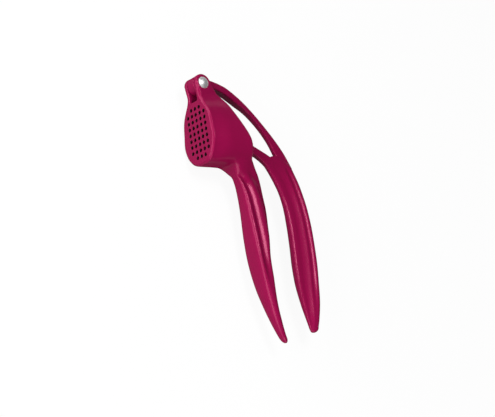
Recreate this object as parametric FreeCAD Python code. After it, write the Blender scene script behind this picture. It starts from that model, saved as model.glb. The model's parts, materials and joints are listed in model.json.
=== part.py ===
"""Garlic press: a chamber casting with its handle, a lever casting, a hinged plunger and its pins.

Working frame: the hinge axis is the Z axis. +X runs down the head to the handle tips, +Y runs from the
sieve towards the lever, and Z is square to the plane in which the lever swings, so the press lies on its
side. At the end everything is moved so that the middle of the footprint is at the origin. Lengths are in
millimetres and angles in degrees.
"""
import FreeCAD, Part
import math
import os

V = FreeCAD.Vector
AXIS = V(0, 0, 1)

# Hinge
EAR_RADIUS = 5.8
EAR_OUTER = 6.5            # half width over the two ears
HUB_RADIUS = 5.7
HUB_THICKNESS = 6.4
SIDE_GAP = 0.35            # on each side of a part that turns between two cheeks
RUNNING_CLEARANCE = 0.05   # between a pin and what turns on it
RIVET_RADIUS = 2.4
RIVET_HEAD_RADIUS = 3.9
RIVET_HEAD_HEIGHT = 1.8
RIVET_SEAT_DEPTH = 0.4
RIVET_SEAT_GAP = 0.3
STUD_RADIUS = 1.4
STUD_DEPTH = 6.0
STUD_END_GAP = 0.5         # between the stud's end and the bottom of its socket

# Sieve
SIEVE_PLANE = -4.8         # outer face
SIEVE_THICKNESS = 2.2
SIEVE_TOP = 11.2           # top edge, at the foot of the slot between the ears
SLOT_CORNER = 1.2          # radius at the foot of that slot
SIEVE_CENTRE = 30.8        # middle of the grid of holes
HOLE_PITCH = 3.8
HOLE_RADIUS = 0.95
HOLE_SIDES = 10
HOLE_COLUMNS = 5
HOLE_ROWS = 9

# Chamber
CHEEK_END = 8.5            # where the parallel cheeks under the ears start to flare, at the sieve
MOUTH_CHEEK_END = 1.5      # and at the height of the mouth
FLANK_PLACE = 0.35         # of the way down the flank
FLANK_HALF_WIDTH = 11.6
BELLY_PLACE = 0.75
BELLY_HALF_WIDTH = 14.3
HEAD_WIDEST = 37.5
HEAD_HALF_WIDTH = 14.7
TURN_PLACE = 0.62          # of the way from the widest place to the bottom
TURN_WIDTH = 0.77          # of the width at the widest place
HEAD_BOTTOM = 51.3
SIDE_DRAFT = 3.5           # lean of the chamber's sides, in degrees
MOUTH_LEVEL = 40.0         # height at which the mouth's sizes are given
CHAMBER_WALL = 1.9
WALL_THINNING = 0.5        # how much thinner the wall is at the mouth
RIM_SLOPE = 25.2           # of the mouth, from the ears down, in degrees
RIM_BOTTOM = 42.0          # where the mouth's rim turns towards the handle
RIM_TURN = 7.0             # and how far it runs on before it is level
RIM_TURN_RISE = 2.6
RIM_END_RISE = 3.4
EDGE_RADIUS = 1.4          # round the front and the mouth

# Lower handle. Each section: distance below the hinge, middle, thickness, half width, width and half
# thickness of the web along its inner edge, and squareness
HANDLE_TIP = 161.9
LOWER_SECTIONS = (
    (43.5, 12.5, 23.2, 13.2, -3.0, 13.2, 2.4),
    (47.5, 19.0, 21.0, 10.9, -3.0, 9.0, 2.5),
    (51.5, 24.3, 16.4, 8.5, 0.0, 6.0, 2.6),
    (56.0, 27.8, 16.9, 6.9, 4.0, 4.5, 2.8),
    (61.0, 29.8, 17.0, 5.8, 7.0, 3.0, 3.3),
    (69.0, 30.7, 17.3, 5.1, 8.0, 2.6, 4.0),
    (80.0, 31.4, 17.4, 5.8, 6.0, 2.6, 4.5),
    (95.0, 30.7, 15.3, 6.8, 2.0, 3.2, 4.5),
    (110.0, 29.4, 10.5, 7.2, -1.0, 5.0, 4.5),
    (125.0, 30.4, 8.4, 6.7, -2.2, 6.0, 4.5),
    (138.0, 32.5, 6.5, 5.2, -2.2, 5.0, 4.5),
    (150.0, 35.7, 5.0, 3.5, -2.2, 3.5, 4.5),
    (157.5, 38.3, 3.9, 2.4, -2.2, 2.4, 4.5),
)
LOWER_TIP = 40.4
# Groove along each side: start, end, depth, half width, distance from the palm side
LOWER_GROOVE = (54.0, 132.0, 1.2, 2.3, 4.0)
GROOVE_FULLNESS = 0.6      # the lower, the sooner a groove reaches its depth

# Lever: hub, arm, strut and upper handle
LEVER_TIP = 156.3
PLATE_THICKNESS = 4.6      # of the strut at its eye
UPPER_SECTIONS = (
    (41.8, 54.7, 3.6, 1.9, 0.0, 1.7, 4.5),
    (44.0, 55.5, 14.2, 2.1, 3.0, 1.8, 4.5),
    (48.0, 57.0, 20.8, 2.8, 5.0, 2.0, 4.5),
    (53.0, 59.4, 19.9, 3.5, 6.0, 2.1, 4.5),
    (60.0, 62.3, 18.3, 4.3, 6.0, 2.2, 4.5),
    (67.0, 64.4, 17.1, 4.8, 5.6, 2.2, 4.5),
    (76.0, 66.1, 16.6, 5.3, 5.4, 2.2, 4.5),
    (88.0, 66.8, 16.8, 5.8, 5.2, 2.2, 4.5),
    (101.0, 66.6, 17.0, 6.1, 5.0, 2.2, 4.5),
    (114.0, 65.9, 17.1, 6.3, 4.6, 2.2, 4.5),
    (126.0, 65.4, 15.5, 6.1, 3.8, 2.1, 4.5),
    (138.0, 65.7, 12.3, 5.3, 2.6, 2.0, 4.5),
    (148.0, 65.8, 8.3, 3.9, 1.4, 1.6, 4.5),
    (153.0, 65.8, 6.1, 2.7, 0.8, 1.2, 4.5),
)
UPPER_TIP = 65.9
UPPER_GROOVE = (47.0, 150.0, 1.2, 2.3, 6.3)

# Arm from the hub and strut from the eye: place, direction, thickness and half width at each station
ARM_SECTIONS = (
    (-0.6, 1.0, 92.0, 8.6, 3.0),
    (-0.9, 9.2, 84.0, 5.4, 3.1),
    (1.4, 18.7, 72.0, 4.9, 3.1),
    (7.0, 28.8, 58.0, 4.5, 2.9),
    (14.9, 39.8, 47.0, 3.2, 2.4),
    (27.2, 51.4, 40.0, 4.3, 1.9),
    (39.6, 59.5, 34.0, 7.6, 1.7),
    (52.0, 64.6, 26.0, 10.6, 1.8),
)
STRUT_SECTIONS = (
    (38.7, 36.7, 63.0, 5.2, 2.1),
    (43.8, 46.4, 60.0, 6.7, 1.9),
    (49.0, 53.6, 52.0, 9.6, 1.8),
)
BAR_POWER = 6.0            # squareness of the sections of arm and strut

# Plunger, placed as it stands with the press shut
PLUNGER_CLEARANCE = 0.6    # all round, in the chamber
PLUNGER_THICKNESS = 3.0
PLUNGER_TOP = 13.6
PLUNGER_LEAD = 2.0         # its flanks are the chamber's, moved this far down, so that it swings out freely
PLUNGER_CORNER = 3.0
SIEVE_GAP = 0.4            # left between plunger and sieve when shut
PIN_DISTANCE = 28.1        # from the hinge to the plunger's pin
PIN_ANGLE = 14.6           # direction of that pin from the hinge, when shut
CLOSING_ANGLE = 6.0        # the lever stands this far from shut
PLUNGER_RATIO = 0.3        # turn of the plunger on its pin for each degree of the lever
PIN_RADIUS = 1.6
EYE_RADIUS = 3.4
LUG_THICKNESS = 2.8
LUG_FOOT = 8.0             # how much longer each lug's foot is than its eye
LUG_SINK = 0.5             # of each lug's foot in the plate

# Shape of the handles' sections
SECTION_POINTS = 28
WEB_RISE = 2.2             # width of the slope from a handle's web up to its crest
HANDLE_SPACING = 6.0       # between sections along a handle
BAR_SPACING = 6.5          # and along the arm and the strut
TIP_SHARES = (0.35, 0.6, 0.8, 0.92, 0.98)    # of the way from the last section to the tip

# Shapes that cut or trim
OVERSHOOT = 1.0            # of a cut past the faces it opens
REACH = 30.0               # past the head, all round
NEARLY = 0.01


def curve(points, start=None, end=None):
    """A smooth edge through the points, with its directions at both ends if they are given."""
    spline = Part.BSplineCurve()
    vectors = [V(*point) for point in points]
    if start and end:
        spline.interpolate(Points=vectors, InitialTangent=V(*start), FinalTangent=V(*end))
    else:
        spline.interpolate(Points=vectors)
    return spline.toShape()


def polyline(points):
    vectors = [V(*point) for point in points]
    return [Part.LineSegment(first, second).toShape() for first, second in zip(vectors, vectors[1:])]


def slab(edges, low, high):
    """A plate along Z with that outline."""
    outline = Part.Wire(Part.__sortEdges__(edges))
    plate = Part.Face(outline).extrude(V(0, 0, high - low))
    plate.translate(V(0, 0, low))
    return plate


def peg(radius, low, high, x=0.0, y=0.0):
    """A cylinder along Z, from one height to another."""
    return Part.makeCylinder(radius, high - low, V(x, y, low), AXIS)


def rounded(shape, radius, wanted):
    """The shape with that radius on each edge that is wanted."""
    edges = [edge for edge in shape.Edges if wanted(edge)]
    return shape.makeFillet(radius, edges)


def head_half(level, shoulder, cheek, inset):
    """One side of the head's outline at that level: the flaring flank and half of the round bottom."""
    lean = (level - SIEVE_PLANE) * math.tan(math.radians(SIDE_DRAFT))
    flank = HEAD_WIDEST - CHEEK_END
    bottom = HEAD_BOTTOM - inset
    side = HEAD_HALF_WIDTH + lean - inset
    points = [
        (shoulder, level, cheek),
        (CHEEK_END + FLANK_PLACE * flank, level, FLANK_HALF_WIDTH + 0.8 * lean - 1.07 * inset),
        (CHEEK_END + BELLY_PLACE * flank, level, BELLY_HALF_WIDTH + lean - 1.02 * inset),
        (HEAD_WIDEST, level, side),
        (HEAD_WIDEST + TURN_PLACE * (bottom - HEAD_WIDEST), level, TURN_WIDTH * side),
        (bottom, level, 0),
    ]
    return curve(points, (1, 0, 0.2), (0, 0, -1))


def head_wire(level, shoulder, top, cheek, inset):
    """Outline of the head at that level, with cheeks that run from top to shoulder."""
    half = head_half(level, shoulder, cheek, inset)
    mirrored = half.mirror(V(0, 0, 0), AXIS)
    corners = [(shoulder, -cheek), (top, -cheek), (top, cheek), (shoulder, cheek)]
    cheeks = polyline([(x, level, z) for x, z in corners])
    return Part.Wire(Part.__sortEdges__([half, mirrored] + cheeks))


def shoulder_at(level):
    """Where the cheeks end at that level."""
    share = (level - SIEVE_PLANE) / (MOUTH_LEVEL - SIEVE_PLANE)
    return CHEEK_END + share * (MOUTH_CHEEK_END - CHEEK_END)


def inset_at(level, extra=0.0):
    """How far the chamber's inside lies in from its outside at that level, and more if asked for."""
    share = (level - SIEVE_PLANE) / (MOUTH_LEVEL - SIEVE_PLANE)
    return CHAMBER_WALL - share * WALL_THINNING + extra


def head_block(front, back, top, cheek, inset_front, inset_back):
    """The head's outline carried from one level to another, leaning and flaring on the way."""
    wires = []
    for level, inset in ((front, inset_front), (back, inset_back)):
        wires.append(head_wire(level, shoulder_at(level), top, cheek, inset))
    return Part.makeLoft(wires, True, True)


def eased(share):
    """A smooth step from 0 to 1."""
    share = min(max(share, 0), 1)
    return share * share * (3 - 2 * share)


def groove_depth(groove, x):
    """Depth of a handle's groove at x: none at its two ends."""
    start, end, depth = groove[:3]
    share = (x - start) / (end - start)
    return depth * math.sin(math.pi * share) ** GROOVE_FULLNESS if 0 < share < 1 else 0.0


def section(centre, direction, thickness, power, half_width_at):
    """A closed section square to that direction; half_width_at is asked at each distance across it."""
    angle = math.radians(direction + 90)
    side = V(math.cos(angle), math.sin(angle), 0)
    points = []
    for index in range(SECTION_POINTS):
        turn = 2 * math.pi * index / SECTION_POINTS
        share = (1 - math.cos(turn)) / 2
        edge = max(1 - abs(2 * share - 1) ** power, 0) ** (1 / power)
        out = math.copysign(edge * half_width_at(share * thickness), math.sin(turn))
        points.append(V(*centre, 0) + side * ((share - 0.5) * thickness) + AXIS * out)
    return Part.makePolygon(points + [points[0]])


def smooth_step(rows, place):
    """The row of a table at that place in it: a smooth curve runs through every column."""
    index = min(int(place), len(rows) - 2)
    share = place - index
    before, first = rows[max(index - 1, 0)], rows[index]
    second, after = rows[index + 1], rows[min(index + 2, len(rows) - 1)]
    values = []
    for w, x, y, z in zip(before, first, second, after):
        bend = 2 * w - 5 * x + 4 * y - z
        values.append(x + share * (y - w + share * (bend + share * (3 * (x - y) + z - w))) / 2)
    return values


def refined(rows, spacing):
    """The rows of a table, with more between them, that far apart in their first column."""
    result = []
    for index in range(len(rows) - 1):
        count = max(1, round(abs(rows[index + 1][0] - rows[index][0]) / spacing))
        result += [smooth_step(rows, index + step / count) for step in range(count)]
    return result + [list(rows[-1])]


def handle_section(row, groove, inner):
    """One section of a handle: web along its inner edge, crest, groove and crest.

    The inner edge is on the +Y side where inner is 1, and on the other where it is -1.
    """
    x, centre, thickness, half_width, web, web_half, power = row
    depth = groove_depth(groove, x)
    groove_width, groove_place = groove[3:]

    def half_width_at(across):
        palm = across if inner > 0 else thickness - across
        rise = eased((thickness - palm - web) / WEB_RISE)
        dip = depth * math.exp(-((palm - groove_place) / groove_width) ** 2)
        return web_half + (half_width - web_half) * rise - dip

    return section((x, centre), 0, thickness, power, half_width_at)


def bar(stations):
    """A flat bar with rounded edges through the stations (x, y, direction, thickness, half width)."""
    wires = []
    for x, y, direction, thickness, half_width in refined(stations, BAR_SPACING):
        wires.append(section((x, y), direction, thickness, BAR_POWER, lambda across: half_width))
    return Part.makeLoft(wires, True, True)


def handle_solid(sections, tip, tip_centre, groove, inner):
    """A handle through its sections, closed by a round tip."""
    wires = [handle_section(row, groove, inner) for row in refined(sections, HANDLE_SPACING)]
    last_x, last_centre, thickness, half_width, web, web_half, power = sections[-1]
    for share in TIP_SHARES:
        x = last_x + share * (tip - last_x)
        centre = last_centre + share * (tip_centre - last_centre)
        shrink = math.sqrt(1 - share ** 2)
        row = (x, centre, shrink * thickness, shrink * half_width, web, shrink * web_half, power)
        wires.append(handle_section(row, groove, inner))
    return Part.makeLoft(wires, True, True)


def head_side_view():
    """The head seen along the hinge: round ears, the sloping mouth and the flat sieve."""
    slope = math.radians(RIM_SLOPE)
    tangent = (-EAR_RADIUS * math.sin(slope), EAR_RADIUS * math.cos(slope), 0)
    corner_y = tangent[1] + (RIM_BOTTOM - tangent[0]) * math.tan(slope)
    far = HEAD_BOTTOM + 10 * OVERSHOOT
    ear = Part.Arc(V(*tangent), V(-EAR_RADIUS, 0, 0), V(0, -EAR_RADIUS, 0)).toShape()
    outline = polyline([
        (0, -EAR_RADIUS, 0),
        (SIEVE_TOP, SIEVE_PLANE, 0),
        (far, SIEVE_PLANE, 0),
        (far, corner_y + RIM_END_RISE, 0),
        (RIM_BOTTOM + RIM_TURN, corner_y + RIM_TURN_RISE, 0),
        (RIM_BOTTOM, corner_y, 0),
        tangent,
    ])
    return slab([ear] + outline, -REACH, REACH)


def on_outline(edge):
    """Whether an edge of the head runs round its front or its mouth, and doesn't join the two."""
    box = edge.BoundBox
    return box.XLength > NEARLY and box.YLength < 5 * box.XLength


def at_slot_foot(edge):
    return edge.BoundBox.XMin > SIEVE_TOP - NEARLY and edge.BoundBox.YLength > 1


def at_plate_top(edge):
    return edge.BoundBox.XMax < PLUNGER_TOP + NEARLY and edge.BoundBox.YLength > 1


def chamber_handle():
    """The casting of chamber, sieve, ears and lower handle."""
    slot = HUB_THICKNESS / 2 + SIDE_GAP
    inner = SIEVE_PLANE + SIEVE_THICKNESS
    head = head_block(-EAR_RADIUS - OVERSHOOT, MOUTH_LEVEL, -2 * EAR_RADIUS, EAR_OUTER, 0, 0)
    head = head.common(head_side_view())
    head = rounded(head, EDGE_RADIUS, on_outline)
    body = head.fuse(handle_solid(LOWER_SECTIONS, HANDLE_TIP, LOWER_TIP, LOWER_GROOVE, 1))
    cavity = head_block(inner, MOUTH_LEVEL, 0, slot, inset_at(inner), inset_at(MOUTH_LEVEL))
    passage = Part.makeBox(REACH + SIEVE_TOP, 3 * REACH, 2 * slot, V(-REACH, -REACH, -slot))
    passage = rounded(passage, SLOT_CORNER, at_slot_foot)
    past = EAR_OUTER + OVERSHOOT
    seat = EAR_OUTER - RIVET_SEAT_DEPTH
    seat_radius = RIVET_HEAD_RADIUS + RIVET_SEAT_GAP
    bores = [peg(RIVET_RADIUS, -past, past), peg(seat_radius, seat, past), peg(seat_radius, -past, -seat)]
    return body.cut([cavity, passage] + bores + sieve_holes())


def sieve_holes():
    """The square grid of holes, less its four corners."""
    holes = []
    for row in range(HOLE_ROWS):
        for column in range(HOLE_COLUMNS):
            if row in (0, HOLE_ROWS - 1) and column in (0, HOLE_COLUMNS - 1):
                continue
            x = SIEVE_CENTRE + (row - (HOLE_ROWS - 1) / 2) * HOLE_PITCH
            z = (column - (HOLE_COLUMNS - 1) / 2) * HOLE_PITCH
            holes.append(hole(x, z))
    return holes


def hole(x, z):
    """One hole, as a prism through the sieve."""
    corners = []
    for index in range(HOLE_SIDES + 1):
        turn = 2 * math.pi * index / HOLE_SIDES
        out = V(math.cos(turn), 0, math.sin(turn)) * HOLE_RADIUS
        corners.append(V(x, SIEVE_PLANE - OVERSHOOT, z) + out)
    return Part.Face(Part.makePolygon(corners)).extrude(V(0, SIEVE_THICKNESS + 2 * OVERSHOOT, 0))


def polar(distance, angle):
    return distance * math.cos(math.radians(angle)), distance * math.sin(math.radians(angle))


def touching_point(centre, radius, point, side):
    """Where the line from the point touches the circle, on the side given by +1 or -1."""
    away = math.atan2(point[1] - centre[1], point[0] - centre[0])
    distance = math.hypot(point[0] - centre[0], point[1] - centre[1])
    angle = away + side * math.acos(radius / distance)
    return centre[0] + radius * math.cos(angle), centre[1] + radius * math.sin(angle)


def lever_handle():
    """The casting of hub, arm, strut with its eye, and upper handle."""
    pin = polar(PIN_DISTANCE, PIN_ANGLE + CLOSING_ANGLE)
    first = STRUT_SECTIONS[0]
    direction = math.degrees(math.atan2(first[1] - pin[1], first[0] - pin[0]))
    strut = bar(((*pin, direction, first[3], PLATE_THICKNESS / 2),) + STRUT_SECTIONS)
    arm = bar(ARM_SECTIONS)
    hub = peg(HUB_RADIUS, -HUB_THICKNESS / 2, HUB_THICKNESS / 2)
    eye = peg(EYE_RADIUS, -PLATE_THICKNESS / 2, PLATE_THICKNESS / 2, *pin)
    grip = handle_solid(UPPER_SECTIONS, LEVER_TIP, UPPER_TIP, UPPER_GROOVE, -1)
    bores = [peg(RIVET_RADIUS + RUNNING_CLEARANCE, -HUB_THICKNESS, HUB_THICKNESS),
             peg(PIN_RADIUS + RUNNING_CLEARANCE, -HUB_THICKNESS, HUB_THICKNESS, *pin)]
    return grip.fuse([arm, strut, hub, eye]).cut(bores)


def plunger():
    """The pressing plate with the two lugs on its back, as it stands with the press at rest."""
    face = SIEVE_PLANE + SIEVE_THICKNESS + SIEVE_GAP
    back = face + PLUNGER_THICKNESS
    cheek = HUB_THICKNESS / 2
    insets = [inset_at(level, PLUNGER_CLEARANCE) for level in (face, back)]
    plate = head_block(face, back, 0, cheek, *insets)
    keep = Part.makeBox(2 * REACH, 2 * REACH, 2 * REACH, V(PLUNGER_TOP, -REACH, -REACH))
    plate = plate.common(plate.translated(V(PLUNGER_LEAD, 0, 0))).common(keep)
    plate = rounded(plate, PLUNGER_CORNER, at_plate_top)
    pin = polar(PIN_DISTANCE, PIN_ANGLE)
    near = PLATE_THICKNESS / 2 + SIDE_GAP
    outline = lug_outline(pin, back - LUG_SINK)
    lugs = [slab(outline, near, near + LUG_THICKNESS), slab(outline, -near - LUG_THICKNESS, -near)]
    shape = plate.fuse(lugs).cut(peg(PIN_RADIUS, -REACH, REACH, *pin))
    return to_rest(shape)


def lug_outline(pin, level):
    """A round eye about the pin, on a foot at that level."""
    half_foot = EYE_RADIUS + LUG_FOOT / 2
    heel = (pin[0] - half_foot, level)
    toe = (pin[0] + half_foot, level)
    left = touching_point(pin, EYE_RADIUS, heel, -1)
    right = touching_point(pin, EYE_RADIUS, toe, 1)
    crown = (pin[0], pin[1] + EYE_RADIUS)
    outline = polyline([(*corner, 0) for corner in (left, heel, toe, right)])
    return outline + [Part.Arc(V(*left, 0), V(*crown, 0), V(*right, 0)).toShape()]


def to_rest(shape):
    """Moves a piece from where it stands with the press shut to where it stands at rest."""
    pin = polar(PIN_DISTANCE, PIN_ANGLE)
    shape.rotate(V(*pin, 0), AXIS, PLUNGER_RATIO * CLOSING_ANGLE)
    shape.rotate(V(0, 0, 0), AXIS, CLOSING_ANGLE)
    return shape


def plunger_pin():
    """The plain pin through both lugs and the eye."""
    end = PLATE_THICKNESS / 2 + SIDE_GAP + LUG_THICKNESS
    pin = polar(PIN_DISTANCE, PIN_ANGLE + CLOSING_ANGLE)
    return Part.makeCylinder(PIN_RADIUS, 2 * end, V(*pin, -end), AXIS)


def dome(base, direction):
    """A rivet's domed head standing on that height along Z, up or down."""
    sphere_radius = (RIVET_HEAD_RADIUS ** 2 + RIVET_HEAD_HEIGHT ** 2) / (2 * RIVET_HEAD_HEIGHT)
    ball = Part.makeSphere(sphere_radius, V(0, 0, base + direction * (RIVET_HEAD_HEIGHT - sphere_radius)))
    ends = sorted((base, base + direction * (RIVET_HEAD_HEIGHT + OVERSHOOT)))
    return ball.common(peg(RIVET_HEAD_RADIUS, *ends))


def hinge_rivet():
    """The near half of the hinge pin: a domed head on a tube that reaches through both ears."""
    seat = EAR_OUTER - RIVET_SEAT_DEPTH
    tube = peg(RIVET_RADIUS, -seat, seat)
    socket = peg(STUD_RADIUS, -seat, -seat + STUD_DEPTH)
    return tube.fuse(dome(seat, 1)).cut(socket)


def hinge_rivet_stud():
    """The far half: a domed head on a stud that is pressed into the tube."""
    seat = EAR_OUTER - RIVET_SEAT_DEPTH
    return peg(STUD_RADIUS, -seat, -seat + STUD_DEPTH - STUD_END_GAP).fuse(dome(-seat, -1))


def main():
    os.makedirs("parts", exist_ok=True)
    nodes = {
        "chamber_handle": chamber_handle(),
        "lever_handle": lever_handle(),
        "plunger": plunger(),
        "plunger_pin": plunger_pin(),
        "hinge_rivet": hinge_rivet(),
        "hinge_rivet_stud": hinge_rivet_stud(),
    }
    boxes = [shape.optimalBoundingBox(False) for shape in nodes.values()]
    middle_x = (min(box.XMin for box in boxes) + max(box.XMax for box in boxes)) / 2
    middle_y = (min(box.YMin for box in boxes) + max(box.YMax for box in boxes)) / 2
    bottom = min(box.ZMin for box in boxes)
    for name, shape in nodes.items():
        shape.translate(V(-middle_x, -middle_y, -bottom))
        shape.exportStep("parts/%s.step" % name)
    pin_x, pin_y = polar(PIN_DISTANCE, PIN_ANGLE + CLOSING_ANGLE)
    print("hinge axis at", -middle_x, -middle_y, -bottom)
    print("plunger pin at", pin_x - middle_x, pin_y - middle_y, -bottom)


main()
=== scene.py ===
"""Garlic press, dressed: two coated castings, the plate on its pin, and the hinge's chrome rivet.

The press lies on its side. Lengths below are millimetres from the hinge axis, as on the maker's
drawing: down the head to the handle tips, across from the sieve to the lever, and out along the
hinge axis.
"""
import bmesh
import bpy
import json
import math
import numpy as np
from mathutils import Matrix, Vector
from mathutils.kdtree import KDTree


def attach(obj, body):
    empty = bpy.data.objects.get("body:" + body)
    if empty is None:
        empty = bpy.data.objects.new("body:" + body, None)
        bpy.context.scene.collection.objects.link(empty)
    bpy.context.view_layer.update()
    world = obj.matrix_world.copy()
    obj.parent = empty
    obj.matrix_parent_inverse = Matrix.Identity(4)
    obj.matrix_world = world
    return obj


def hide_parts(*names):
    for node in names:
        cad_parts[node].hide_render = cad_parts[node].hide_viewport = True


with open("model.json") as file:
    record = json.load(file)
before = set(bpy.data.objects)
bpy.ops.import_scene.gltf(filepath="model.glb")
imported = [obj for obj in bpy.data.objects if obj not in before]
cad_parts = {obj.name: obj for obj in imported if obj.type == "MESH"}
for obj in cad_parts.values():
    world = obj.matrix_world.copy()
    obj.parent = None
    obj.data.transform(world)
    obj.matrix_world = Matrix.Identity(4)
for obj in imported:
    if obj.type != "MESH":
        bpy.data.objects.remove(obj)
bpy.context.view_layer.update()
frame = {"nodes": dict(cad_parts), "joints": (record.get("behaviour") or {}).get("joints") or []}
scene = bpy.context.scene
scene.view_settings.view_transform = "Standard"
JOINTS = {joint["name"]: Vector(joint["pos_m"]) for joint in frame["joints"]}
HINGE = JOINTS["lever_hinge"]
PLUNGER_PIN = JOINTS["plunger_hinge"]
MM = 0.001

# Sizes of the two castings. Each section of a handle: distance below the hinge, middle, thickness,
# half width, width and half thickness of the web along its inner edge, squareness, and how far its
# groove is from the palm side. Each groove: start, start length, end, end length, depth, width on
# the palm side and width on the inner side
HANDLE_TIP = 161.9
LOWER_SECTIONS = (
    (43.5, 12.5, 23.2, 13.2, -4.0, 13.2, 3.0, 1.0),
    (47.5, 19.0, 21.0, 10.7, -4.0, 10.7, 4.0, 1.0),
    (51.5, 23.9, 17.2, 8.0, 2.0, 7.8, 4.6, 0.0),
    (56.0, 27.2, 18.1, 5.6, 5.5, 4.6, 4.5, 0.8),
    (61.0, 29.4, 17.8, 4.7, 2.8, 3.0, 4.5, 3.4),
    (69.0, 30.7, 17.3, 5.3, 1.0, 2.4, 4.5, 4.5),
    (80.0, 31.4, 17.4, 5.9, 0.0, 2.4, 4.5, 4.9),
    (95.0, 30.7, 15.3, 6.9, -1.5, 3.0, 4.5, 5.0),
    (110.0, 29.4, 10.5, 7.2, -3.5, 4.6, 4.5, 4.3),
    (125.0, 30.4, 8.5, 6.9, -5.0, 6.0, 3.2, 3.6),
    (138.0, 32.5, 6.7, 5.5, -5.0, 5.0, 2.4, 3.0),
    (150.0, 35.7, 5.2, 3.8, -5.0, 3.5, 2.3, 2.4),
    (157.5, 38.3, 4.1, 2.6, -5.0, 2.4, 2.3, 1.9),
)
LOWER_TIP = 40.4
LOWER_GROOVE = (53.5, 5.0, 138.0, 36.0, 1.7, 2.0, 2.6)
LOWER_RISE = 7.0           # width of the slope from the lower handle's web up to its crest
LEVER_TIP = 156.3
UPPER_SECTIONS = (
    (41.8, 54.7, 3.6, 1.9, 0.0, 1.7, 4.5, 2.0),
    (44.0, 55.5, 14.2, 2.1, 3.0, 1.8, 4.5, 5.2),
    (48.0, 57.0, 20.8, 2.8, 5.0, 2.0, 4.5, 5.2),
    (53.0, 59.4, 19.9, 3.5, 6.0, 2.1, 4.5, 5.2),
    (60.0, 62.3, 18.3, 4.3, 6.0, 2.2, 4.5, 5.2),
    (67.0, 64.4, 17.1, 4.8, 5.6, 2.2, 4.5, 5.2),
    (76.0, 66.1, 16.6, 5.3, 5.4, 2.6, 4.5, 5.2),
    (88.0, 66.8, 16.8, 5.8, 5.2, 2.9, 4.5, 5.2),
    (101.0, 66.6, 17.0, 6.1, 5.0, 3.0, 4.5, 5.2),
    (114.0, 65.9, 17.1, 6.3, 4.6, 3.0, 4.5, 5.2),
    (126.0, 65.4, 15.5, 6.1, 3.8, 2.8, 4.5, 5.0),
    (138.0, 65.7, 12.3, 5.3, 2.6, 2.4, 4.5, 4.6),
    (148.0, 65.8, 8.3, 3.9, 1.4, 1.6, 4.5, 3.9),
    (153.0, 65.8, 6.1, 2.7, 0.8, 1.2, 4.5, 3.0),
)
UPPER_TIP = 65.9
UPPER_GROOVE = (46.0, 8.0, 152.0, 30.0, 0.85, 1.9, 1.4)
# The lever's ridge beside its groove: place as a share of the groove's, height as a share of the
# palm edge's, and how hollow the slope below it is
UPPER_RIDGE = (1.28, 0.67, 1.4)
# Arm and strut: place, direction in degrees, thickness and half width
ARM_SECTIONS = (
    (-0.6, 1.0, 92.0, 8.6, 3.0),
    (-0.9, 9.2, 84.0, 5.4, 3.1),
    (1.4, 18.7, 72.0, 4.9, 3.1),
    (7.0, 28.8, 58.0, 4.5, 2.9),
    (14.9, 39.8, 47.0, 3.2, 2.4),
    (27.2, 51.4, 40.0, 4.3, 1.9),
    (39.6, 59.5, 34.0, 7.6, 1.7),
    (52.0, 64.6, 26.0, 10.6, 1.8),
)
STRUT_SECTIONS = (
    (38.7, 36.7, 63.0, 5.2, 2.1),
    (43.8, 46.4, 60.0, 6.7, 1.9),
    (49.0, 53.6, 52.0, 9.6, 1.8),
)
PLATE_THICKNESS = 4.6      # of the strut at its eye
BAR_POWER = 6.0            # squareness of the sections of arm and strut
HANDLE_SPACING = 1.2       # between sections along a handle
BAR_SPACING = 1.0          # and along the arm and the strut
# Sections of a handle's round tip, as shares of the way to its end
TIP_SHARES = (0.2, 0.35, 0.5, 0.62, 0.72, 0.8, 0.87, 0.93, 0.97, 0.99)
RING_POINTS = 112
HUB_RADIUS = 5.7
HUB_THICKNESS = 6.4
RIVET_RADIUS = 2.4
EYE_RADIUS = 3.4
PIN_RADIUS = 1.6
RUNNING_CLEARANCE = 0.05
SIEVE_PLANE = -4.8
SIEVE_THICKNESS = 2.2
SIEVE_CENTRE = 30.8
HOLE_PITCH = 3.8
HOLE_RADIUS = 1.2
HOLE_COLUMNS = 5
HOLE_ROWS = 9
HOLE_SIDES = 32
# The plug that fills the plain sieve's holes: how far it reaches past the outer holes' middles, and
# the shares of its half length and half width where its corners start
PLUG_MARGIN = 1.4
PLUG_CORNER = (0.86, 0.66)
OVERSHOOT = 1.0            # of a cutter past the faces it opens
BORE_REACH = 6.0
HEAD_END = 51.0            # below here the plain casting gives way to the finer handle

# The bevel round the sieve: its width, the length from the hinge over which it comes in, and the
# height above the sieve, with half its band, at which the casting's side is looked for
SIEVE_BEVEL = 1.2
BEVEL_ONSET = 8.0
SIDE_LEVEL = 1.55
SIDE_BAND = 0.35
# The slot between the ears, which the bevel doesn't follow: its foot and its half width
SLOT_FOOT = 11.5
SLOT_HALF_WIDTH = 4.0
# How far the sieve's end of the casting stands aside from the head's middle plane: distance below
# the hinge, aside at the near edge, aside at the far edge
SIEVE_DRIFT = ((8.0, 0.0, 0.0), (14.0, -0.1, -0.8), (22.0, -0.3, -0.6), (30.0, -1.1, -0.4),
               (44.0, -1.6, -1.1), (50.0, -1.7, 0.0))
DRIFT_SPAN = 26.0          # from the far edge to the near one
DRIFT_LEVEL = 1.0          # above the sieve, where it starts to fade
DRIFT_FADE = 12.0
# The rim of the head, fuller just below the ears: how much, its place and its spread down the head,
# and where across the head it starts and over what length it comes in
RIM_SWELL = 1.7
RIM_PLACE = 12.5
RIM_SPREAD = 5.0
RIM_START = 4.0
RIM_LENGTH = 6.0

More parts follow.
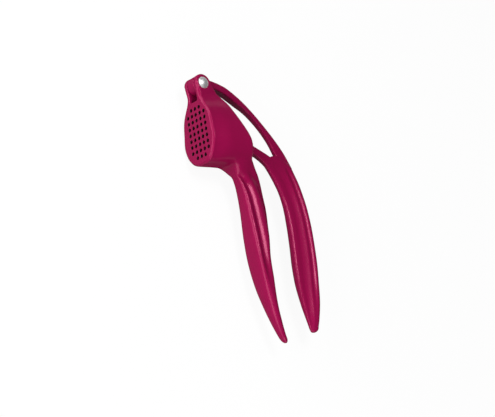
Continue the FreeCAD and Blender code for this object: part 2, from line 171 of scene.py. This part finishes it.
# Smoothing of the melted castings: grain, rounds, and where it works. The handle's start and fade
# are along the press; the neck's and the crown's are across it. Along the press a place is smoothed
# in full out to (fullness - 1) times the reach, and not at all past fullness times the reach
COAT_VOXEL = 0.42 * MM
WELD = 0.002 * MM
EASE_STEP = 0.5
BACK_STEP = -0.52          # against each step, so that the skin doesn't shrink
HEAD_ROUNDS = 8
BEVEL_ROUNDS = 3
HANDLE_ROUNDS = 36
HANDLE_START = 50.0
HANDLE_FADE = 6.0
NECK_ROUNDS = 40
NECK_BACK_STEP = 0.2       # with the step, so that the neck is drawn in
NECK_PLACE = 47.0
NECK_REACH = 7.0
NECK_FULLNESS = 1.3
NECK_START = 2.0
NECK_FADE = 4.0
LEVER_ROUNDS = 36
CROWN_ROUNDS = 30
CROWN_PLACE = 47.0
CROWN_REACH = 12.0
CROWN_FULLNESS = 1.25
CROWN_START = 44.0


# ---------------------------------------------------------------- shapes

def placed(x, y, z=0.0):
    """A point of the drawing, in the part's frame."""
    return HINGE + Vector((x, y, z)) * MM


def new_piece(name, mesh):
    piece = bpy.data.objects.new(name, mesh)
    scene.collection.objects.link(piece)
    return piece


def from_bmesh(name, built):
    bmesh.ops.recalc_face_normals(built, faces=built.faces)
    mesh = bpy.data.meshes.new(name)
    built.to_mesh(mesh)
    built.free()
    return new_piece(name, mesh)


def loft(name, rings):
    """A closed solid through rings of equally many points."""
    built = bmesh.new()
    made = [[built.verts.new(point) for point in ring] for ring in rings]
    count = len(rings[0])
    for before, after in zip(made, made[1:]):
        for index in range(count):
            after_index = (index + 1) % count
            built.faces.new((before[index], before[after_index], after[after_index], after[index]))
    built.faces.new(made[0])
    built.faces.new(made[-1])
    return from_bmesh(name, built)


def peg(name, radius, low, high, x=0.0, y=0.0, sides=64):
    """A round peg along the hinge axis."""
    rings = []
    for z in (low, high):
        turns = [2 * math.pi * index / sides for index in range(sides)]
        rings.append([placed(x + radius * math.cos(t), y + radius * math.sin(t), z) for t in turns])
    return loft(name, rings)


def stepped(share):
    """From 0 to 1, easing in and out."""
    share = min(max(share, 0.0), 1.0)
    return share * share * (3 - 2 * share)


def section(centre, direction, thickness, power, half_width_at):
    """A closed ring square to that direction; half_width_at is asked at each distance across it."""
    angle = math.radians(direction + 90)
    side = Vector((math.cos(angle), math.sin(angle), 0))
    points = []
    for index in range(RING_POINTS):
        turn = 2 * math.pi * index / RING_POINTS
        share = (1 - math.cos(turn)) / 2
        edge = max(1 - abs(2 * share - 1) ** power, 0) ** (1 / power)
        out = math.copysign(edge * half_width_at(share * thickness), math.sin(turn))
        points.append(placed(*(Vector((*centre, out)) + side * ((share - 0.5) * thickness))))
    return points


def smooth_step(rows, place):
    """The row of a table at that place in it: a smooth curve runs through every column."""
    index = min(int(place), len(rows) - 2)
    share = place - index
    before, first = rows[max(index - 1, 0)], rows[index]
    second, after = rows[index + 1], rows[min(index + 2, len(rows) - 1)]
    values = []
    for w, x, y, z in zip(before, first, second, after):
        bend = 2 * w - 5 * x + 4 * y - z
        values.append(x + share * (y - w + share * (bend + share * (3 * (x - y) + z - w))) / 2)
    return values


def refined(rows, spacing):
    """The table with rows put in between, at about that spacing along its first column."""
    result = []
    for index in range(len(rows) - 1):
        count = max(1, round(abs(rows[index + 1][0] - rows[index][0]) / spacing))
        result += [smooth_step(rows, index + step / count) for step in range(count)]
    return result + [list(rows[-1])]


def groove_depth(groove, x):
    """Depth of a handle's groove at x: it deepens from its start and runs out to its end."""
    start, start_length, end, end_length, depth = groove[:5]
    return depth * stepped((x - start) / start_length) * stepped((end - x) / end_length)


def soft_rise(palm, web_place, groove_place):
    """Rise of the lower handle above its web at a distance from the palm side: one long slope."""
    return stepped((web_place - palm) / LOWER_RISE)


def ridged_rise(palm, web_place, groove_place):
    """Rise of the lever above its web: a hollow slope to a ridge, a gentler one to the palm."""
    place, height, hollow = UPPER_RIDGE
    ridge, crest = place * groove_place, groove_place / 2
    if palm < ridge:
        return 1 - (1 - height) * max(palm - crest, 0) / (ridge - crest)
    return height * (max(web_place - palm, 0) / (web_place - ridge)) ** hollow


def handle_ring(row, groove, rise_at, inner):
    """One section of a handle: web, groove and palm edge. Its web is on the inner side, +1 or -1."""
    x, centre, thickness, half_width, web, web_half, power, groove_place = row
    depth = groove_depth(groove, x)
    palm_side, inner_side = groove[5:]

    def half_width_at(across):
        palm = across if inner > 0 else thickness - across
        rise = rise_at(palm, thickness - web, groove_place)
        width = palm_side if palm < groove_place else inner_side
        dip = depth * math.exp(-((palm - groove_place) / width) ** 2)
        return web_half + (half_width - web_half) * rise - dip

    return section((x, centre), 0, thickness, power, half_width_at)


def handle_shape(name, sections, tip, tip_centre, groove, rise_at, inner):
    """A handle through its sections, closed by a round tip."""
    rings = [handle_ring(row, groove, rise_at, inner) for row in refined(sections, HANDLE_SPACING)]
    last_x, last_centre, thickness, half_width, web, web_half, power, groove_place = sections[-1]
    for share in TIP_SHARES:
        x = last_x + share * (tip - last_x)
        centre = last_centre + share * (tip_centre - last_centre)
        shrink = math.sqrt(1 - share ** 2)
        row = (x, centre, shrink * thickness, shrink * half_width, web, shrink * web_half,
               power, groove_place)
        rings.append(handle_ring(row, groove, rise_at, inner))
    return loft(name, rings)


def bar(name, stations):
    """A flat bar through its stations."""
    rings = []
    for x, y, direction, thickness, half_width in refined(stations, BAR_SPACING):
        rings.append(section((x, y), direction, thickness, BAR_POWER, lambda across: half_width))
    return loft(name, rings)


def joined(name, pieces):
    """One mesh of several closed shapes."""
    built = bmesh.new()
    for piece in pieces:
        built.from_mesh(piece.data)
        bpy.data.objects.remove(piece)
    mesh = bpy.data.meshes.new(name)
    built.to_mesh(mesh)
    built.free()
    return new_piece(name, mesh)


def finished(piece):
    """The piece with its modifiers made part of its mesh."""
    graph = bpy.context.evaluated_depsgraph_get()
    mesh = bpy.data.meshes.new_from_object(piece.evaluated_get(graph))
    piece.modifiers.clear()
    piece.data = mesh
    mesh.name = piece.name
    return piece


def fused(piece, voxel):
    """Overlapping shapes melted into one skin."""
    modifier = piece.modifiers.new("skin", "REMESH")
    modifier.mode = "VOXEL"
    modifier.voxel_size = voxel
    modifier.use_smooth_shade = True
    return finished(piece)


def cut(piece, cutter):
    modifier = piece.modifiers.new("cut", "BOOLEAN")
    modifier.operation = "DIFFERENCE"
    modifier.solver = "EXACT"
    modifier.material_mode = "TRANSFER"
    modifier.object = cutter
    finished(piece)
    bpy.data.objects.remove(cutter)


def eased(piece, rounds, weight=None, back_step=BACK_STEP):
    """Smooths the skin, by a weight from 0 to 1 for each place on it."""
    mesh = piece.data
    places = np.empty(len(mesh.vertices) * 3)
    mesh.vertices.foreach_get("co", places)
    places = places.reshape(-1, 3)
    pairs = np.empty(len(mesh.edges) * 2, dtype=np.int64)
    mesh.edges.foreach_get("vertices", pairs)
    pairs = pairs.reshape(-1, 2)
    count = np.bincount(pairs.ravel(), minlength=len(places))[:, None]
    share = np.ones(len(places)) if weight is None else weight((places - np.array(HINGE)) / MM)
    share = share[:, None]
    for turn in range(2 * rounds):
        total = np.zeros_like(places)
        for axis in range(3):
            total[:, axis] += np.bincount(pairs[:, 0], places[pairs[:, 1], axis], len(places))
            total[:, axis] += np.bincount(pairs[:, 1], places[pairs[:, 0], axis], len(places))
        step = EASE_STEP if turn % 2 == 0 else back_step
        places = places + step * share * (total / count - places)
    mesh.vertices.foreach_set("co", places.ravel())
    mesh.update()


def smooth_shaded(piece):
    piece.data.shade_smooth()
    return piece


# ---------------------------------------------------------------- perforations

def feed(links, socket, value):
    """Gives a socket its value: a link from another socket, or a constant."""
    if isinstance(value, bpy.types.NodeSocket):
        links.new(value, socket)
    else:
        socket.default_value = value


def group_socket(tree, name, kind, value, lowest=None):
    socket = tree.interface.new_socket(name=name, in_out="INPUT", socket_type=kind)
    socket.default_value = value
    if lowest is not None:
        socket.min_value = lowest


def sieve_cutters():
    """The square grid of hole cutters through the sieve, less its four corners."""
    tree = bpy.data.node_groups.new("sieve holes", "GeometryNodeTree")
    group_socket(tree, "Columns", "NodeSocketInt", HOLE_COLUMNS, 1)
    group_socket(tree, "Rows", "NodeSocketInt", HOLE_ROWS, 1)
    group_socket(tree, "Pitch", "NodeSocketFloat", HOLE_PITCH * MM)
    group_socket(tree, "Radius", "NodeSocketFloat", HOLE_RADIUS * MM)
    group_socket(tree, "Depth", "NodeSocketFloat", (SIEVE_THICKNESS + 2 * OVERSHOOT) * MM)
    group_socket(tree, "Material", "NodeSocketMaterial", None)
    tree.interface.new_socket(name="Geometry", in_out="OUTPUT", socket_type="NodeSocketGeometry")
    nodes, links = tree.nodes, tree.links

    def add(kind, **inputs):
        node = nodes.new(kind)
        for key, value in inputs.items():
            feed(links, node.inputs[key.replace("_", " ")], value)
        return node

    def math_of(operation, first, second):
        node = nodes.new("ShaderNodeMath")
        node.operation = operation
        for socket, value in zip(node.inputs, (first, second)):
            feed(links, socket, value)
        return node.outputs[0]

    given = nodes.new("NodeGroupInput").outputs
    length = math_of("MULTIPLY", math_of("SUBTRACT", given["Rows"], 1), given["Pitch"])
    width = math_of("MULTIPLY", math_of("SUBTRACT", given["Columns"], 1), given["Pitch"])
    grid = add("GeometryNodeMeshGrid", Size_X=length, Size_Y=width,
               Vertices_X=given["Rows"], Vertices_Y=given["Columns"])
    place = add("ShaderNodeSeparateXYZ", Vector=add("GeometryNodeInputPosition").outputs[0])
    just_inside = 0.49     # of the length or width, from the middle: only the last row is past it
    past_row = math_of("GREATER_THAN", math_of("ABSOLUTE", place.outputs["X"], 0),
                       math_of("MULTIPLY", length, just_inside))
    past_column = math_of("GREATER_THAN", math_of("ABSOLUTE", place.outputs["Y"], 0),
                          math_of("MULTIPLY", width, just_inside))
    corner = math_of("MULTIPLY", past_row, past_column)
    kept = add("GeometryNodeDeleteGeometry", Geometry=grid.outputs["Mesh"], Selection=corner)
    kept.domain = "POINT"
    drill = add("GeometryNodeMeshCylinder", Vertices=HOLE_SIDES, Radius=given["Radius"],
                Depth=given["Depth"])
    placed_drills = add("GeometryNodeInstanceOnPoints", Points=kept.outputs[0],
                        Instance=drill.outputs["Mesh"])
    real = add("GeometryNodeRealizeInstances", Geometry=placed_drills.outputs[0])
    dressed = add("GeometryNodeSetMaterial", Geometry=real.outputs[0], Material=given["Material"])
    links.new(dressed.outputs[0], nodes.new("NodeGroupOutput").inputs[0])

    holder = new_piece("sieve_cutters", bpy.data.meshes.new("sieve_cutters"))
    modifier = holder.modifiers.new("holes", "NODES")
    modifier.node_group = tree
    given_material = next(item for item in tree.interface.items_tree if item.name == "Material")
    # The cutters carry the near-black coat onto the holes' walls: painted shade inside the holes
    modifier[given_material.identifier] = painted_hole_shade
    finished(holder)
    middle = placed(SIEVE_CENTRE, SIEVE_PLANE + SIEVE_THICKNESS / 2)
    holder.data.transform(Matrix.Translation(middle) @ Matrix.Rotation(math.radians(90), 4, "X"))
    return holder


# ---------------------------------------------------------------- finishes

class Value:
    """A number that varies over a surface; arithmetic on it adds Math nodes."""

    def __init__(self, finish, socket):
        self.finish, self.socket = finish, socket

    def _with(self, operation, first, second):
        return self.finish.node("ShaderNodeMath", {"operation": operation}, first, second)

    def __add__(self, other):
        return self._with("ADD", self, other)

    def __radd__(self, other):
        return self._with("ADD", other, self)

    def __sub__(self, other):
        return self._with("SUBTRACT", self, other)

    def __rsub__(self, other):
        return self._with("SUBTRACT", other, self)

    def __mul__(self, other):
        return self._with("MULTIPLY", self, other)

    def __rmul__(self, other):
        return self._with("MULTIPLY", other, self)


class Finish:
    """A material built from nodes."""

    def __init__(self, name, tree=None):
        if tree is None:
            self.material = bpy.data.materials.new(name)
            self.material.use_nodes = True
            tree = self.material.node_tree
        self.tree = tree
        self.tree.nodes.clear()

    def node(self, kind, settings=None, *values, output=0, **named):
        node = self.tree.nodes.new(kind)
        for key, value in (settings or {}).items():
            setattr(node, key, value)
        pairs = list(zip(node.inputs, values))
        pairs += [(node.inputs[key.replace("_", " ")], value) for key, value in named.items()]
        for socket, value in pairs:
            self.put(socket, value)
        made = Value(self, node.outputs[output] if node.outputs else None)
        made.node = node
        return made

    def put(self, socket, value):
        if isinstance(value, Value):
            self.tree.links.new(value.socket, socket)
        else:
            socket.default_value = value

    def mixed(self, share, first, second):
        """A colour between two."""
        node = self.tree.nodes.new("ShaderNodeMix")
        node.data_type = "RGBA"
        inputs = [socket for socket in node.inputs if socket.enabled]
        for socket, value in zip(inputs, (share, first, second)):
            self.put(socket, (*value, 1) if isinstance(value, tuple) else value)
        return Value(self, next(socket for socket in node.outputs if socket.enabled))

    def place(self):
        return self.node("ShaderNodeTexCoord", output="Object")

    def noise(self, scale, detail):
        return self.node("ShaderNodeTexNoise", Vector=self.place(), Scale=scale, Detail=detail)

    def surface(self, **named):
        shader = self.node("ShaderNodeBsdfPrincipled", **named)
        self.node("ShaderNodeOutputMaterial", None, shader)
        return self.material

    def bump(self, height, strength, distance):
        return self.node("ShaderNodeBump", Strength=strength, Distance=distance, Height=height)


def coated(name, colour, deep, roughness):
    """A thick coat over cast metal: uneven in shade, gloss and skin, without glare at its edges."""
    finish = Finish(name)
    drift = finish.noise(90.0, 3.0)
    shade = finish.mixed(drift, deep, colour)
    peel = finish.noise(420.0, 2.0)
    wave = finish.noise(60.0, 1.0)
    gloss = roughness + 0.08 * (finish.noise(150.0, 3.0) - 0.5)
    skin = finish.bump(0.25 * peel + 0.75 * wave, strength=0.10, distance=0.3 * MM)
    glossy = finish.node("ShaderNodeBsdfPrincipled", Base_Color=shade, Roughness=gloss, IOR=1.5,
                         Specular_IOR_Level=0.26, Specular_Tint=(1.0, 0.62, 0.78, 1), Metallic=0.07,
                         Normal=skin)
    dull = finish.node("ShaderNodeBsdfPrincipled", Base_Color=shade, Roughness=0.8,
                       Specular_IOR_Level=0.0)
    facing = finish.node("ShaderNodeLayerWeight", Blend=0.5, output=1)
    dull_from, dull_gain = 0.45, 3.0
    edge = finish.node("ShaderNodeMath", {"operation": "MULTIPLY", "use_clamp": True},
                       facing - dull_from, dull_gain)
    shader = finish.node("ShaderNodeMixShader", None, edge, glossy, dull)
    finish.node("ShaderNodeOutputMaterial", None, shader)
    return finish.material


def chromed(name):
    finish = Finish(name)
    gloss = 0.40 + 0.06 * finish.noise(300.0, 3.0)
    return finish.surface(Base_Color=(0.84, 0.85, 0.86, 1), Metallic=0.86, Roughness=gloss)


def bare_steel(name):
    finish = Finish(name)
    turned = finish.node("ShaderNodeTexWave", {"wave_type": "BANDS", "bands_direction": "Z"},
                         Vector=finish.place(), Scale=900.0, Distortion=1.5, Detail=2.0,
                         output="Fac")
    gloss = 0.26 + 0.10 * turned
    skin = finish.bump(turned, strength=0.15, distance=0.05 * MM)
    return finish.surface(Base_Color=(0.56, 0.56, 0.57, 1), Metallic=1.0, Roughness=gloss,
                          Normal=skin)


burgundy = coated("burgundy coat", (0.275, 0.003, 0.058), (0.245, 0.003, 0.050), 0.24)
plunger_coat = coated("burgundy coat, satin", (0.24, 0.006, 0.052), (0.215, 0.005, 0.047), 0.38)
# Hole walls: the coat painted near black, as painted shade inside the sieve's holes
painted_hole_shade = coated("burgundy coat, painted shade in the holes",
                   (0.022, 0.001, 0.006), (0.016, 0.001, 0.004), 0.5)
chrome = chromed("chrome")
steel = bare_steel("turned steel")


def dress(piece, material):
    piece.data.materials.clear()
    piece.data.materials.append(material)
    for face in piece.data.polygons:
        face.material_index = 0
    return piece


# ---------------------------------------------------------------- the chamber casting

def head_alone():
    """The head and neck of the plain casting, cut off square where the finer handle takes over."""
    built = bmesh.new()
    built.from_mesh(frame["nodes"]["chamber_handle"].data)
    bmesh.ops.remove_doubles(built, verts=built.verts, dist=WELD)
    everything = built.verts[:] + built.edges[:] + built.faces[:]
    made = bmesh.ops.bisect_plane(built, geom=everything, plane_co=placed(HEAD_END, 0),
                                  plane_no=(1, 0, 0), clear_outer=True)
    rim = [item for item in made["geom_cut"] if isinstance(item, bmesh.types.BMEdge)]
    bmesh.ops.holes_fill(built, edges=rim, sides=0)
    mesh = bpy.data.meshes.new("head")
    built.to_mesh(mesh)
    built.free()
    return new_piece("head", mesh)


def bevelled(casting):
    """Gives the sieve's edge its wide bevel, then swells the rim and sets the sieve's end aside."""
    mesh = casting.data
    places = np.empty(len(mesh.vertices) * 3)
    mesh.vertices.foreach_get("co", places)
    drawing = (places.reshape(-1, 3) - np.array(HINGE)) / MM
    x, y, z = drawing.T
    in_slot = (x < SLOT_FOOT) & (np.abs(z) < SLOT_HALF_WIDTH)
    side = (np.abs(y - SIEVE_PLANE - SIDE_LEVEL) < SIDE_BAND) & ~in_slot
    tree = KDTree(int(side.sum()))
    for index, (down, out) in enumerate(drawing[side][:, (0, 2)]):
        tree.insert((down, out, 0), index)
    tree.balance()
    for index in np.flatnonzero((y < SIEVE_PLANE + SIEVE_BEVEL) & (x > 0)):
        width = SIEVE_BEVEL * stepped(x[index] / BEVEL_ONSET)
        inward = tree.find((x[index], z[index], 0))[2]
        y[index] = max(y[index], SIEVE_PLANE + width - inward)
    down, near, far = zip(*SIEVE_DRIFT)
    share = np.clip(z / DRIFT_SPAN + 0.5, 0, 1)
    swell = RIM_SWELL * np.exp(-((x - RIM_PLACE) / RIM_SPREAD) ** 2)
    y += swell * np.clip((y - RIM_START) / RIM_LENGTH, 0, 1)
    fade = np.clip(1 - (y - SIEVE_PLANE - DRIFT_LEVEL) / DRIFT_FADE, 0, 1)
    fade = fade * fade * (3 - 2 * fade)
    z += fade * (np.interp(x, down, far) * (1 - share) + np.interp(x, down, near) * share)
    places = drawing * MM + np.array(HINGE)
    mesh.vertices.foreach_set("co", places.ravel())
    mesh.update()


def chamber_casting():
    """Head and handle in one skin. The plain sieve's holes are plugged and then cut anew, round."""
    half_length = (HOLE_ROWS - 1) / 2 * HOLE_PITCH + PLUG_MARGIN
    half_width = (HOLE_COLUMNS - 1) / 2 * HOLE_PITCH + PLUG_MARGIN
    long, wide = PLUG_CORNER
    outline = ((-1, -wide), (-long, -1), (long, -1), (1, -wide),
               (1, wide), (long, 1), (-long, 1), (-1, wide))
    plug = loft("plug", [[placed(SIEVE_CENTRE + down * half_length, level, out * half_width)
                          for down, out in outline]
                         for level in (SIEVE_PLANE, SIEVE_PLANE + SIEVE_THICKNESS)])
    handle = handle_shape("handle", LOWER_SECTIONS, HANDLE_TIP, LOWER_TIP, LOWER_GROOVE,
                          soft_rise, 1)
    shapes = joined("chamber_casting", [head_alone(), plug, handle])
    casting = dress(fused(shapes, COAT_VOXEL), burgundy)

    def neck(places):
        away = np.abs(places[:, 0] - NECK_PLACE) / NECK_REACH
        across = np.clip((places[:, 1] - NECK_START) / NECK_FADE, 0, 1)
        return np.clip(NECK_FULLNESS - away, 0, 1) * across

    def handle_only(places):
        return np.clip((places[:, 0] - HANDLE_START) / HANDLE_FADE, 0, 1)

    eased(casting, HEAD_ROUNDS)
    bevelled(casting)
    eased(casting, BEVEL_ROUNDS)
    eased(casting, HANDLE_ROUNDS, handle_only)
    eased(casting, NECK_ROUNDS, neck, NECK_BACK_STEP)
    cut(casting, sieve_cutters())
    return smooth_shaded(casting)


def lever_casting():
    pin = (PLUNGER_PIN - HINGE) / MM
    first = STRUT_SECTIONS[0]
    direction = math.degrees(math.atan2(first[1] - pin.y, first[0] - pin.x))
    at_eye = (pin.x, pin.y, direction, first[3], PLATE_THICKNESS / 2)
    strut = bar("strut", (at_eye,) + STRUT_SECTIONS)
    arm = bar("arm", ARM_SECTIONS)
    hub = peg("hub", HUB_RADIUS, -HUB_THICKNESS / 2, HUB_THICKNESS / 2)
    eye = peg("eye", EYE_RADIUS, -PLATE_THICKNESS / 2, PLATE_THICKNESS / 2, pin.x, pin.y)
    grip = handle_shape("grip", UPPER_SECTIONS, LEVER_TIP, UPPER_TIP, UPPER_GROOVE, ridged_rise, -1)
    shapes = joined("lever_casting", [grip, arm, strut, hub, eye])
    casting = dress(fused(shapes, COAT_VOXEL), burgundy)

    def crown(places):
        away = np.abs(places[:, 0] - CROWN_PLACE) / CROWN_REACH
        return np.clip(CROWN_FULLNESS - away, 0, 1) * (places[:, 1] > CROWN_START)

    eased(casting, LEVER_ROUNDS)
    eased(casting, CROWN_ROUNDS, crown)
    cut(casting, peg("bore", RIVET_RADIUS + RUNNING_CLEARANCE, -BORE_REACH, BORE_REACH))
    cut(casting, peg("bore", PIN_RADIUS + RUNNING_CLEARANCE, -BORE_REACH, BORE_REACH, pin.x, pin.y))
    return smooth_shaded(casting)


casting = chamber_casting()
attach(casting, "body")
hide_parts("chamber_handle")

lever = lever_casting()
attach(lever, "lever")
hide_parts("lever_handle")

for node, material in (("plunger", plunger_coat), ("plunger_pin", steel),
                       ("hinge_rivet", chrome), ("hinge_rivet_stud", chrome)):
    for slot in frame["nodes"][node].material_slots:
        slot.material = material


# ---------------------------------------------------------------- studio

# In metres, but for the camera's place. How white metal sees the floor, by distance from the press,
# and the walls, by height of the direction: from, to, how white at the first and at the second
CAMERA_PLACE = (230.9, -415.8, 475.1)
CAMERA_RIGHT = (0.1488, 0.7477, 0.6472)
CAMERA_BACK = (0.2302, -0.6627, 0.7127)
FLOOR_REACH = 6.0
FLOOR_LEVEL = -0.3 * MM
FLOOR_WHITE = 0.93         # to the eye
# The floor in metal is darker close to the press: a painted shadow
FLOOR_IN_METAL = (0.10, 0.40, 0.2, 0.85)
WALLS_IN_METAL = (0.0, 0.14, 1.0, 0.08)
AMBIENT = 0.16
LAMP_AIM = (0, 0, 0.015)


def add_camera():
    data = bpy.data.cameras.new("camera")
    data.sensor_fit = "HORIZONTAL"
    data.sensor_width = 36.0
    data.lens = 78.70
    data.clip_start = 0.01
    camera = bpy.data.objects.new("camera", data)
    scene.collection.objects.link(camera)
    right = Vector(CAMERA_RIGHT).normalized()
    back = Vector(CAMERA_BACK)
    back = (back - right * back.dot(right)).normalized()
    up = back.cross(right)
    turn = Matrix((right, up, back)).transposed().to_4x4()
    camera.matrix_world = Matrix.Translation(placed(*CAMERA_PLACE)) @ turn
    scene.camera = camera


def lamp(name, place, size, power):
    """A soft box aimed at the press."""
    data = bpy.data.lights.new(name, "AREA")
    data.shape = "RECTANGLE"
    data.size, data.size_y = size
    data.energy = power
    light = bpy.data.objects.new(name, data)
    scene.collection.objects.link(light)
    light.location = place
    aim = Vector(LAMP_AIM) - Vector(place)
    light.rotation_euler = aim.to_track_quat("-Z", "Y").to_euler()


def add_floor():
    """Pale floor that holds the shadow. Metal sees it darker close to the press, a painted shadow
    round it.
    """
    built = bmesh.new()
    bmesh.ops.create_grid(built, x_segments=1, y_segments=1, size=FLOOR_REACH)
    for vert in built.verts:
        vert.co.z = FLOOR_LEVEL
    mesh = bpy.data.meshes.new("floor")
    built.to_mesh(mesh)
    built.free()
    floor = new_piece("floor", mesh)
    finish = Finish("floor white")
    seen, mirrored = light_paths(finish)
    tone = finish.mixed(seen, (0.22, 0.22, 0.22), (0.95, 0.95, 0.95))
    plain = finish.node("ShaderNodeBsdfDiffuse", Color=tone)
    white = finish.node("ShaderNodeEmission", Color=(1, 1, 1, 1), Strength=1.0)
    away = finish.node("ShaderNodeVectorMath", {"operation": "LENGTH"}, finish.place(), output=1)
    # Painted shadow: in metal the floor's white falls off close to the press
    gloss_white_past_painted_shadow = finish.node("ShaderNodeMapRange", {"interpolation_type": "SMOOTHSTEP"},
                             away, *FLOOR_IN_METAL)
    share = FLOOR_WHITE * seen + gloss_white_past_painted_shadow * mirrored
    shader = finish.node("ShaderNodeMixShader", None, share, plain, white)
    finish.node("ShaderNodeOutputMaterial", None, shader)
    floor.data.materials.append(finish.material)


def light_paths(finish):
    """1 where the eye sees a thing straight, and 1 where it is seen in something glossy."""
    paths = finish.node("ShaderNodeLightPath").node
    return [Value(finish, paths.outputs[name]) for name in ("Is Camera Ray", "Is Glossy Ray")]


def add_world():
    """Soft grey light from all round; to the eye and in metal, white walls below a dark ceiling."""
    world = bpy.data.worlds.new("studio")
    world.use_nodes = True
    scene.world = world
    studio = Finish("studio", world.node_tree)
    seen, mirrored = light_paths(studio)
    around = studio.node("ShaderNodeTexCoord")
    direction = studio.node("ShaderNodeSeparateXYZ", None, around, output=2)
    walls = studio.node("ShaderNodeMapRange", {"interpolation_type": "SMOOTHSTEP"},
                        direction, *WALLS_IN_METAL)
    strength = seen + mirrored * walls + (1 - seen) * (1 - mirrored) * AMBIENT
    light = studio.node("ShaderNodeBackground", Color=(1, 1, 1, 1), Strength=strength)
    studio.node("ShaderNodeOutputWorld", None, light)


add_camera()
add_world()
add_floor()
lamp("key", place=(-0.23, -0.30, 0.95), size=(0.32, 0.32), power=5.2)
lamp("front", place=(-0.20, -1.00, 0.32), size=(2.4, 0.6), power=18.5)
lamp("fill", place=(0.95, -0.35, 0.30), size=(0.7, 0.7), power=5.0)
